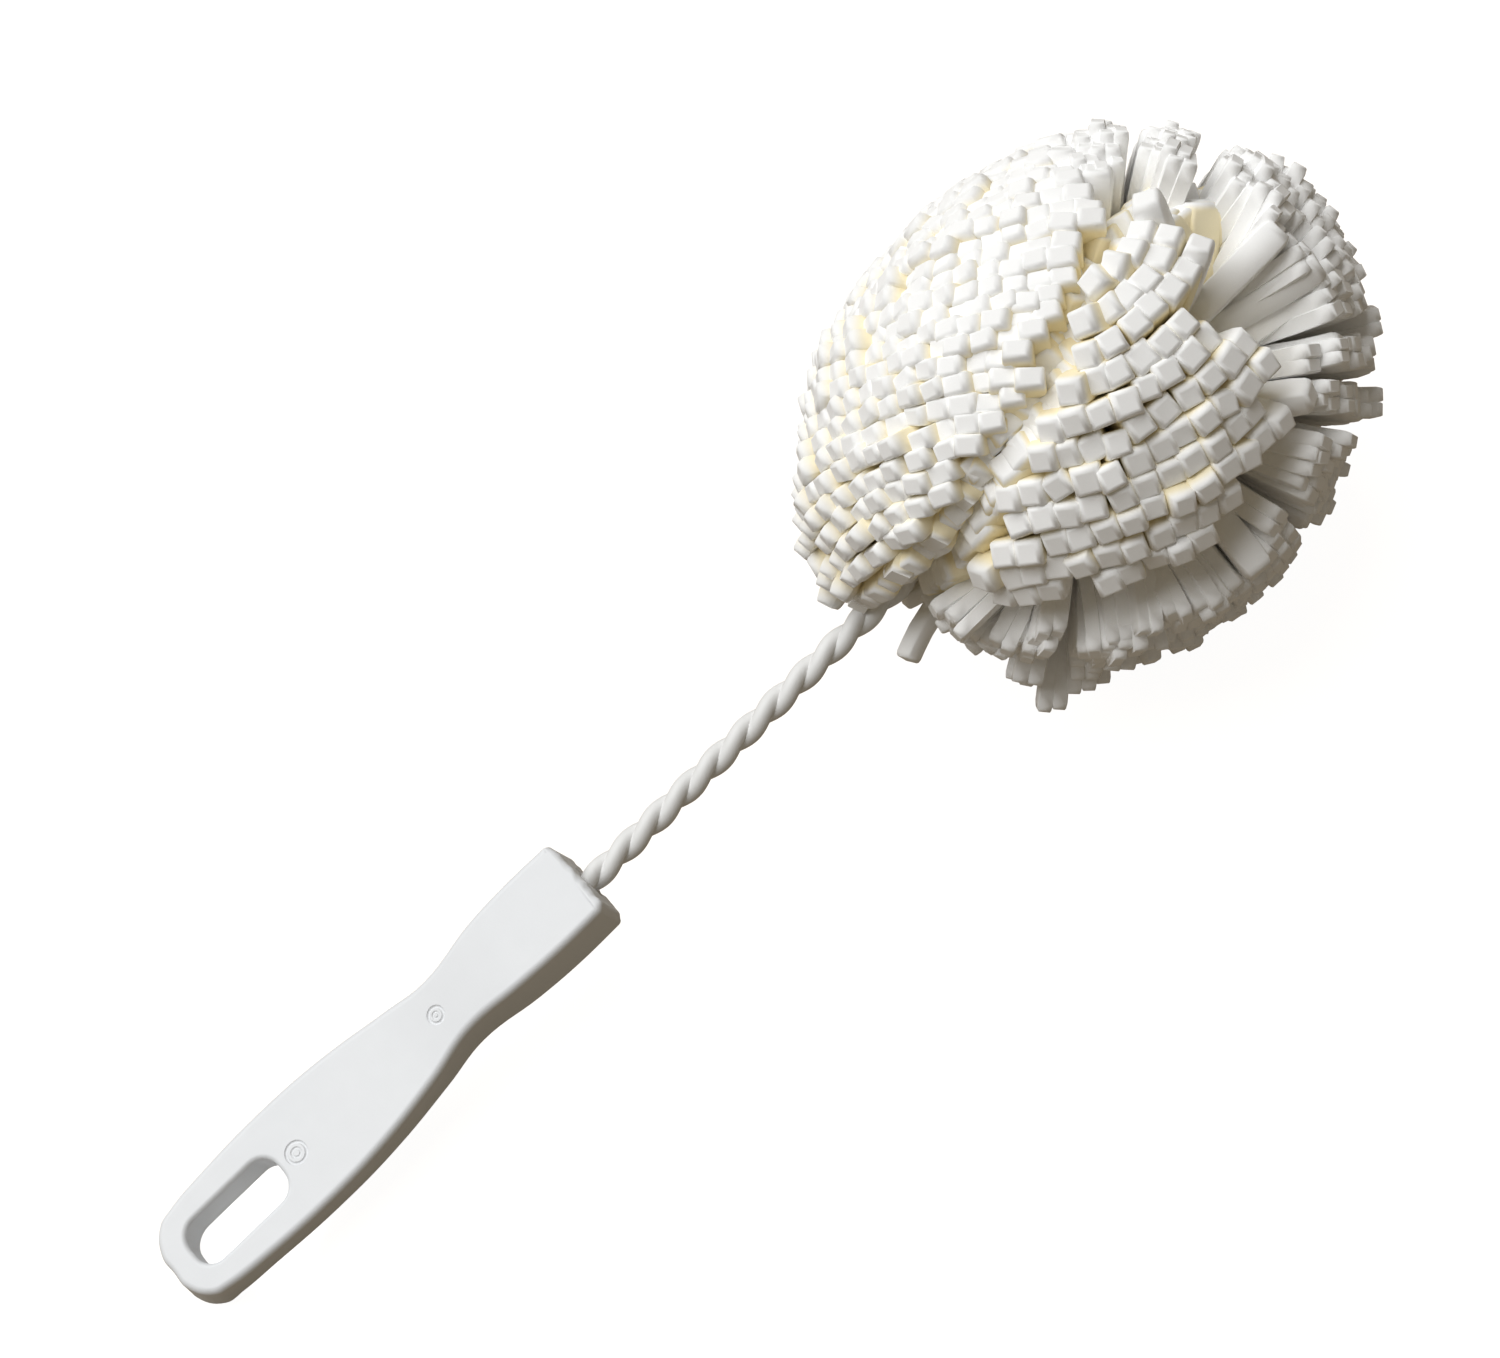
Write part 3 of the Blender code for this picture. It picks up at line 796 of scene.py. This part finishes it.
def growFinger(finger, side, pattern, shape, draw):
    # copies of the pattern from the web to the tip: one, or two thin ones where the fingers stand open
    half, level = halves[side], rowLevels[finger["row"]]
    share = float(finger["start"]) * fringe["startShare"]
    fan = fanAngle(level, share)
    over = 1 if level > 0 else -1
    rootWay = turned(np.array([0.0, side * math.cos(fan), over * math.sin(fan)]), headTurn(share))
    root = webPlace(level, share, side, webReach(share) * fringe["rootShare"])
    outward = unit(finger["tip"] - np.array([head["station"], 0, 0]))
    clump = noise.noise(Vector(finger["tip"]) / fringe["clumpSize"]) * fringe["clump"]
    tip = finger["tip"] + outward * (clump + draw.gauss(0, fringe["lengthJitter"]) - half["trim"])
    tip = tip + np.array([draw.gauss(0, fringe["placeJitter"]) for _ in range(3)])
    swell = finger["swell"] * (1 + draw.gauss(0, fringe["sizeJitter"]))
    size = np.array([half["wide"], half["thick"]]) * swell
    roll = draw.gauss(0, fringe["turnJitter"])
    axis = finger["axis"]
    rootAxis = np.array([-1.0 if axis[0] < 0 else 1.0, 0, 0])
    control = root + rootWay * (np.linalg.norm(tip - root) * fringe["bow"])
    if finger["straight"]:
        control = tip - (tip - headMiddle) * fringe["straightShare"]
    ends, crowded = [tip], 1 - finger["parted"]
    if finger["lead"] is not None:
        control = finger["lead"]
        size = size * fringe["leadSize"]
    elif finger["parted"] > fringe["splitFrom"]:
        axis = rootAxis = unit(np.cross(photoBack, outward))
        apart = axis * half["wide"] * swell / 4
        ends = [tip - apart, tip + apart + outward * draw.gauss(0, fringe["splitJitter"])]
        size = size * np.array([0.5, 1]) * fringe["splitGap"]
    copies = []
    for end in ends:
        copy = pattern.copy()
        copy.data = pattern.data.copy()
        scene.collection.objects.link(copy)
        shift = (end - tip) / 2
        line = (root + shift, control + shift, end)
        setPoints(copy, bendFinger(shape, line, (rootAxis, axis), size, roll, crowded, half["fill"]))
        # depth for the painted shade: 1 at the tip, 0 at the finger's fade length below it
        addDepth(copy, 1 - (1 - shape[:, 2]) * np.linalg.norm(end - root) / finger["fade"])
        copies.append(copy)
    return copies


def makeWeb(level):
    # the thin middle of one comb, pinched between the legs of the wire
    deselectAll()
    along, across = web["cuts"]
    bpy.ops.mesh.primitive_grid_add(x_subdivisions=along, y_subdivisions=across, size=2.0)
    sheet = bpy.context.object
    places = pointsOf(sheet)
    reaches = {0: 0, 1: web["bendShare"], 2: web["edgeShare"]}
    for place in places:
        share, depth = place[0] * web["lengthShare"], place[1]
        reach = reaches[round(abs(depth) * 2)] * webReach(share)
        place[:] = webPlace(level, share, 1 if depth > 0 else -1, reach)
    setPoints(sheet, places)
    thick = sheet.modifiers.new("thickness", "SOLIDIFY")
    thick.thickness = web["thick"]
    thick.offset = 0
    applyAll(sheet)
    # depth 0 everywhere: the web, deep inside the head, takes the full cream of the painted shade
    addDepth(sheet, np.zeros(len(sheet.data.vertices)))
    return sheet


def joinComb(number, members):
    deselectAll()
    for member in members:
        member.select_set(True)
    comb = members[0]
    bpy.context.view_layer.objects.active = comb
    bpy.ops.object.join()
    comb.name = f"foamComb{number + 1:02d}"
    comb.data.name = comb.name
    places = worldPoints(pointsOf(comb))
    places[:, 2] = np.maximum(places[:, 2], head["floorGap"])
    setPoints(comb, places)
    faceOut(comb)
    bpy.ops.object.shade_smooth_by_angle(angle=head["smoothAngle"])
    return comb


def makeCombs():
    pattern = makeFinger()
    shape = pointsOf(pattern)
    draw = random.Random(head["seed"])
    turns = cleftTurns()
    rows = [[] for _ in rowLevels]
    for side in (1, -1):
        fingers = layHalf(side, turns, draw)
        for finger in fingers:
            rows[finger["row"]] += growFinger(finger, side, pattern, shape, draw)
        print("half", side, "has", len(fingers), "fingers")
    combs = []
    for number in range(head["sheets"]):
        pair = (2 * number, 2 * number + 1)
        members = [finger for row in pair for finger in rows[row]]
        members += [makeWeb(rowLevels[row]) for row in pair]
        combs.append(joinComb(number, members))
    bpy.data.objects.remove(pattern)
    return combs


foamLook = {
    "tip": (0.985, 0.985, 0.98),
    # painted shade: the warm cream that the gaps between the fingers hold, put into the colour further down
    # each finger
    "deep": (0.965, 0.87, 0.62),
    "fade": (0.15, 0.95),
    "cloudSize": 0.006,
    "cloud": 0.2,
    "poreSize": 0.00028,
    "poreBump": (0.00006, 0.5),
    "poreShade": (0.6, 0.6, 0.58),
    "poreSpread": 0.10,
    "poreShare": 0.04,
    "roughness": 0.95,
    "shine": 0.05,
}


def foamFinish():
    finish = Finish("whiteFoam")
    depth = finish.add("Attribute", {"attribute_name": "fingerDepth"}, out="Fac")
    cloud = finish.noise(foamLook["cloudSize"])
    # painted shade: white at a finger's tip, cream further down, with a cloudy edge
    shade = (depth + (cloud - 0.5) * foamLook["cloud"]).above(*foamLook["fade"])
    toneWithPaintedShade = finish.mix(shade, foamLook["deep"], foamLook["tip"])
    pores = finish.noise(foamLook["poreSize"], 3.0)
    specks = ((pores - 0.5) * foamLook["poreSpread"] + foamLook["poreShare"]).clamped()
    dark = finish.mix(specks, (1, 1, 1), foamLook["poreShade"])
    finish.feed(
        Base_Color=finish.mix(1.0, toneWithPaintedShade, dark, "MULTIPLY"),
        Roughness=foamLook["roughness"],
        Specular_IOR_Level=foamLook["shine"],
        Normal=finish.bump(pores, *foamLook["poreBump"]),
    )
    return finish


foam = foamFinish()
combs = makeCombs()
for number, comb in enumerate(combs):
    foam.paint(comb)
    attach(comb, "root")
    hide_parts(f"foam_sheet_{number + 1:02d}")
print("foam head fringed:", sum(len(comb.data.polygons) for comb in combs), "faces")


wire = {
    "radius": 0.00178,
    "helixRadius": 0.00095,
    "pitch": 0.0154,
    "fade": 0.004,
    "opening": 0.010,
    "start": 0.077,
    "pointsATurn": 30,
    "bendSteps": 14,
    "roundSteps": 5,
    "weld": 0.00001,
}
sleeveLook = {
    "dark": (0.80, 0.802, 0.795),
    "pale": (0.84, 0.84, 0.835),
    "cloudSize": 0.004,
    "grainSize": 0.0006,
    "grainBump": (0.00003, 0.4),
    "roughness": (0.42, 0.12),
}
steelLook = {
    "dark": (0.46, 0.47, 0.49),
    "pale": (0.62, 0.63, 0.65),
    "streakSize": 0.0008,
    "streakScale": (0.15, 1, 1),
    "streakBump": (0.00002, 0.4),
    "roughness": (0.26, 0.2),
}


def wireTurn(station):
    # the turn of the two legs about the axis: slow through the foam, fast along the stem
    start = head["station"] - web["length"] / 2
    if station > start:
        return headTurn(min((station - head["station"]) * 2 / web["length"], 1))
    slow = head["turn"] / web["length"]
    fast = 2 * math.pi / wire["pitch"] - slow
    fade = max((start - wire["opening"] - station) / wire["fade"] + 1 / 2, 0)
    ramp = fade * fade / 2 if fade < 1 else fade - 1 / 2
    return headTurn(-1) + slow * (start - station) + fast * wire["fade"] * ramp


def wireRadius(station):
    # the legs open from the twisted stem round the foam
    start = head["station"] - web["length"] / 2 - wire["opening"]
    opened = smooth((station - start) / wire["opening"])
    return wire["helixRadius"] + (head["legHeight"] - wire["helixRadius"]) * opened


def onAxis(station, radius, angle):
    return toWorld @ Vector((station, -radius * math.sin(angle), radius * math.cos(angle)))


def wireLine():
    # up one leg of the hairpin, round its bend and down the other
    last = head["station"] + web["length"] / 2
    long = last - wire["start"]
    count = math.ceil(long / wire["pitch"] * wire["pointsATurn"])
    stations = [wire["start"] + long * i / count for i in range(count + 1)]
    leg = [(x, wireRadius(x), wireTurn(x)) for x in stations]
    points = [onAxis(*item) for item in leg]
    for i in range(1, wire["bendSteps"]):
        angle = math.pi * i / wire["bendSteps"]
        reach = last + head["legHeight"] * math.sin(angle)
        points.append(onAxis(reach, head["legHeight"] * math.cos(angle), headTurn(1)))
    points += [onAxis(x, -radius, turn) for x, radius, turn in reversed(leg)]
    return points


def makeSleeve():
    # the plastic sleeve as one smooth tube along the hairpin
    curve = bpy.data.curves.new("stemSleeve", "CURVE")
    curve.dimensions = "3D"
    curve.bevel_depth = wire["radius"]
    curve.bevel_resolution = wire["roundSteps"]
    curve.use_fill_caps = True
    points = wireLine()
    spline = curve.splines.new("POLY")
    spline.points.add(len(points) - 1)
    for point, place in zip(spline.points, points):
        point.co = (*place, 1)
    sleeve = meshOf("stemSleeve", curve)
    enter("EDIT")
    selectAll()
    bpy.ops.mesh.remove_doubles(threshold=wire["weld"])
    faceOut(sleeve)
    bpy.ops.object.shade_smooth()
    return sleeve


def sleeveFinish():
    finish = Finish("sleevePlastic")
    cloud = finish.noise(sleeveLook["cloudSize"], 3.0)
    grain = finish.noise(sleeveLook["grainSize"])
    least, spread = sleeveLook["roughness"]
    finish.feed(
        Base_Color=finish.mix(cloud, sleeveLook["dark"], sleeveLook["pale"]),
        Roughness=cloud * spread + least,
        Normal=finish.bump(grain, *sleeveLook["grainBump"]),
    )
    return finish


def steelFinish():
    finish = Finish("galvanisedWire")
    streak = finish.noise(steelLook["streakSize"], 3.0, finish.place(steelLook["streakScale"]))
    least, spread = steelLook["roughness"]
    finish.feed(
        Base_Color=finish.mix(streak, steelLook["dark"], steelLook["pale"]),
        Roughness=streak * spread + least,
        Normal=finish.bump(streak, *steelLook["streakBump"]),
        Metallic=1.0,
    )
    return finish


sleeve = makeSleeve()
sleeveFinish().paint(sleeve)
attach(sleeve, "root")
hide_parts("wire_coating")
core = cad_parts["wire_core"]
steelFinish().paint(core)
print("wire twisted")


handle = {
    "length": 0.1078,
    # stations from the tail, and the full width at each
    "outline": [
        (0.0001, 0.0080), (0.0036, 0.0180), (0.0068, 0.0200), (0.0160, 0.0221), (0.0340, 0.0233),
        (0.0480, 0.0216), (0.0620, 0.0174), (0.0725, 0.0137), (0.0860, 0.0166), (0.0960, 0.0177),
        (0.1078, 0.0175),
    ],
    "outlineSteps": 7,
    "mouthCorner": 0.0028,
    "mouthCuts": 23,
    # from the axis to the top and to the underside: at the tail, its growth, and where that starts and ends
    "top": (0.0045, 0.0033, 0.058, 0.090),
    "under": (0.0042, 0.0028, 0.015, 0.100),
    "topEdge": 0.0014,
    "underEdge": 0.0038,
    "tailEdgeShare": 0.3,
    "tailEdgeReach": (0.004, 0.012),
    "tailToe": 0.0016,
    "edgeSteps": 5,
    "strips": 34,
    # the uneven rim that the mould leaves at the mouth
    "lump": 0.0004,
    "lumpSize": 0.0016,
    "slotStart": 0.0054,
    "slotLength": 0.0230,
    "slotWidth": 0.0099,
    "slotCorner": 0.0040,
    "slotEdge": 0.0010,
    "boreDepth": 0.030,
    "boreRadius": 0.00304,
    "boreFlare": 0.0009,
    # moulding marks: station, radius, groove radius and how deep it lies
    "marks": [
        (0.0328, 0.0021, 0.00040, 0.00030), (0.0328, 0.0009, 0.00034, 0.00020),
        (0.0700, 0.0016, 0.00040, 0.00030), (0.0700, 0.0006, 0.00030, 0.00018),
    ],
    "slopeStep": 0.0005,
    "weld": 0.00001,
    "hair": 0.000001,
    "smoothAngle": math.radians(35),
}
slotMiddle = handle["slotStart"] + handle["slotLength"] / 2
handleLook = {
    "dark": (0.80, 0.818, 0.842),
    "pale": (0.83, 0.845, 0.865),
    "cloudSize": 0.018,
    "cloudBump": (0.0004, 0.25),
    "grainSize": 0.0005,
    "grainBump": (0.00003, 0.35),
    "rubSize": 0.004,
    "roughness": (0.36, 0.16),
}


def handleReach(face, station):
    # how far the top or the underside lies from the axis
    start, growth, low, high = handle[face]
    return start + growth * smooth((station - low) / (high - low))


def inSlot(place):
    long, wide = handle["slotLength"] / 2 + handle["weld"], handle["slotWidth"] / 2 + handle["weld"]
    return abs(place.x - slotMiddle) < long and abs(place.y) < wide


def onRim(a, b):
    # whether an edge runs round the top or the underside, and not down the middle
    middle = abs(a.y) < handle["hair"] and abs(b.y) < handle["hair"]
    return a.z * b.z > 0 and not middle


def outlineLoop():
    # the waisted outline, as one smooth closed line with two round corners at the mouth
    curve = bpy.data.curves.new("handleOutline", "CURVE")
    curve.dimensions = "2D"
    curve.fill_mode = "NONE"
    curve.resolution_u = handle["outlineSteps"]
    left = [(x, width / 2) for x, width in handle["outline"]]
    points = [(0, 0)] + left + [(x, -y) for x, y in reversed(left)]
    spline = curve.splines.new("BEZIER")
    spline.bezier_points.add(len(points) - 1)
    for point, (x, y) in zip(spline.bezier_points, points):
        point.co = (x, y, 0)
        point.handle_left_type = "VECTOR" if x == handle["length"] else "AUTO"
        point.handle_right_type = point.handle_left_type
    spline.use_cyclic_u = True
    loop = meshOf("handleShell", curve)
    mouth = handle["length"] - handle["weld"]
    mark(loop, "VERT", lambda place: place.x > mouth)
    bpy.ops.mesh.bevel(offset=handle["mouthCorner"], segments=6, affect="VERTICES")
    mark(loop, "EDGE", lambda a, b: a.x > mouth and b.x > mouth)
    bpy.ops.mesh.subdivide(number_cuts=handle["mouthCuts"])
    enter("OBJECT")
    return loop


def slotLoop():
    deselectAll()
    bpy.ops.mesh.primitive_plane_add(size=1, location=(slotMiddle, 0, 0))
    loop = bpy.context.object
    loop.scale = (handle["slotLength"], handle["slotWidth"], 1)
    applyAll(loop)
    enter("EDIT")
    selectAll()
    bpy.ops.mesh.bevel(offset=handle["slotCorner"], segments=7, affect="VERTICES")
    selectAll()
    bpy.ops.mesh.delete(type="ONLY_FACE")
    enter("OBJECT")
    return loop


def drawOut(shell):
    # one half of the outline is filled as a single face, drawn out to its thickness and mirrored
    enter("EDIT")
    selectAll()
    bpy.ops.mesh.bisect(plane_co=(0, 0, 0), plane_no=(0, 1, 0), clear_inner=True)
    for ahead in (False, True):  # the middle line, behind the slot and ahead of it
        mark(shell, "VERT", lambda place: abs(place.y) < handle["hair"] and (place.x > slotMiddle) == ahead)
        bpy.ops.mesh.edge_face_add()
    selectAll()
    bpy.ops.mesh.edge_face_add()
    selectAll()
    deep = handle["top"][0] + handle["under"][0]
    bpy.ops.mesh.extrude_region_move(TRANSFORM_OT_translate={"value": (0, 0, deep)})
    selectAll()
    bpy.ops.transform.translate(value=(0, 0, -handle["under"][0]))
    mark(shell, "FACE", lambda face: abs(face.center.y) < handle["hair"])
    bpy.ops.mesh.delete(type="FACE")
    enter("OBJECT")
    other = shell.modifiers.new("otherSide", "MIRROR")
    other.use_axis = (False, True, False)
    other.merge_threshold = handle["weld"]
    applyAll(shell)


def roundUnderside(shell):
    # a wide rounding along the sides and a small one round the tail's end
    enter("OBJECT")
    flat = -handle["under"][0] + handle["weld"]
    weights = shell.data.attributes.new("bevel_weight_edge", "FLOAT", "EDGE")
    low, high = handle["tailEdgeReach"]
    points = shell.data.vertices
    for edge in shell.data.edges:
        a, b = points[edge.vertices[0]].co, points[edge.vertices[1]].co
        if onRim(a, b) and a.z < flat and b.z < flat and not inSlot(a):
            share = smooth(((a.x + b.x) / 2 - low) / (high - low))
            weights.data[edge.index].value = handle["tailEdgeShare"] * (1 - share) + share
    rounding = shell.modifiers.new("underside", "BEVEL")
    rounding.limit_method = "WEIGHT"
    rounding.width = handle["underEdge"]
    rounding.segments = 2 * handle["edgeSteps"]
    rounding.use_clamp_overlap = False
    applyAll(shell)


def cutStrips(shell):
    # cuts across, so that the top and the underside can rise towards the mouth
    start = handle["slotStart"] + handle["slotLength"] + 2 * handle["slotEdge"]
    for number in range(handle["strips"]):
        share = (number + 0.5) / handle["strips"]
        station = start + (handle["length"] - handle["topEdge"] - start) * share
        selectAll()
        bpy.ops.mesh.bisect(plane_co=(station, 0, 0), plane_no=(1, 0, 0))
    faceOut(shell)


def riseToMouth(shell):
    for vert in shell.data.vertices:
        if vert.co.z > 0:
            vert.co.z += handleReach("top", vert.co.x) - handle["top"][0]
        else:
            low = -vert.co.z / handle["under"][0]
            vert.co.z -= handleReach("under", vert.co.x) - handle["under"][0]
            vert.co.x -= handle["tailToe"] * low * (1 - smooth(vert.co.x / handle["tailEdgeReach"][1]))
        if vert.co.x > handle["length"] - handle["topEdge"]:
            vert.co.x += noise.noise(vert.co / handle["lumpSize"]) * handle["lump"]


def cutFrom(obj, cutter):
    pick(obj)
    cut = obj.modifiers.new("cut", "BOOLEAN")
    cut.operation = "DIFFERENCE"
    cut.object = cutter
    bpy.ops.object.modifier_apply(modifier=cut.name)
    bpy.data.objects.remove(cutter)


def boreCutter():
    # a rod for the wire's socket, flared past the mouth
    deselectAll()
    flare = handle["boreFlare"]
    long = handle["boreDepth"] - flare
    place = (handle["length"] - flare - long / 2, 0, 0)
    size = {"vertices": 40, "radius": handle["boreRadius"], "depth": long}
    bpy.ops.mesh.primitive_cylinder_add(**size, location=place, rotation=(0, math.pi / 2, 0))
    cutter = bpy.context.object
    applyAll(cutter)
    mark(cutter, "FACE", lambda face: face.normal.x > 0.9)
    bpy.ops.mesh.extrude_region_move(TRANSFORM_OT_translate={"value": (2 * flare, 0, 0)})
    grow = 1 + 2 * flare / handle["boreRadius"]
    bpy.ops.transform.resize(value=(1, grow, grow))
    enter("OBJECT")
    return cutter


def markCutter(station, radius, groove, deep):
    # a ring that lies in the sloping top
    deselectAll()
    high, step = handleReach("top", station), handle["slopeStep"]
    slope = math.atan((handleReach("top", station + step) - high) / step)
    size = {"major_radius": radius, "minor_radius": groove, "major_segments": 36, "minor_segments": 12}
    place = (station, 0, high + groove - deep)
    bpy.ops.mesh.primitive_torus_add(**size, location=place, rotation=(0, -slope, 0))
    cutter = bpy.context.object
    applyAll(cutter)
    return cutter


def makeHandle():
    shell = outlineLoop()
    slot = slotLoop()
    pick(shell)
    slot.select_set(True)
    bpy.ops.object.join()
    drawOut(shell)
    mark(shell, "EDGE", lambda a, b: onRim(a, b) and a.z > 0 and not inSlot(a))
    bpy.ops.mesh.bevel(offset=handle["topEdge"], segments=handle["edgeSteps"], affect="EDGES")
    roundUnderside(shell)
    mark(shell, "EDGE", lambda a, b: onRim(a, b) and inSlot(a) and inSlot(b))
    bpy.ops.mesh.bevel(offset=handle["slotEdge"], segments=4, affect="EDGES")
    cutStrips(shell)
    riseToMouth(shell)
    cutFrom(shell, boreCutter())
    for ring in handle["marks"]:
        cutFrom(shell, markCutter(*ring))
    mark(shell, "VERT", lambda place: True)
    bpy.ops.mesh.remove_doubles(threshold=handle["weld"])
    bpy.ops.mesh.dissolve_degenerate(threshold=handle["weld"])
    enter("OBJECT")
    setPoints(shell, worldPoints(pointsOf(shell)))
    bpy.ops.object.shade_smooth_by_angle(angle=handle["smoothAngle"])
    even = shell.modifiers.new("evenShade", "WEIGHTED_NORMAL")
    even.keep_sharp = True
    bpy.ops.object.modifier_apply(modifier=even.name)
    return shell


def handleFinish():
    finish = Finish("mouldedHandle")
    cloud = finish.noise(handleLook["cloudSize"], 3.0)
    grain = finish.noise(handleLook["grainSize"], 3.0)
    rub = finish.noise(handleLook["rubSize"], 4.0)
    waves = finish.bump(cloud, *handleLook["cloudBump"])
    least, spread = handleLook["roughness"]
    finish.feed(
        Base_Color=finish.mix(cloud, handleLook["dark"], handleLook["pale"]),
        Roughness=rub * spread + least,
        Normal=finish.bump(grain, *handleLook["grainBump"], waves),
    )
    return finish


shell = makeHandle()
handleFinish().paint(shell)
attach(shell, "root")
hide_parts("handle")
print("handle moulded:", len(shell.data.polygons), "faces")
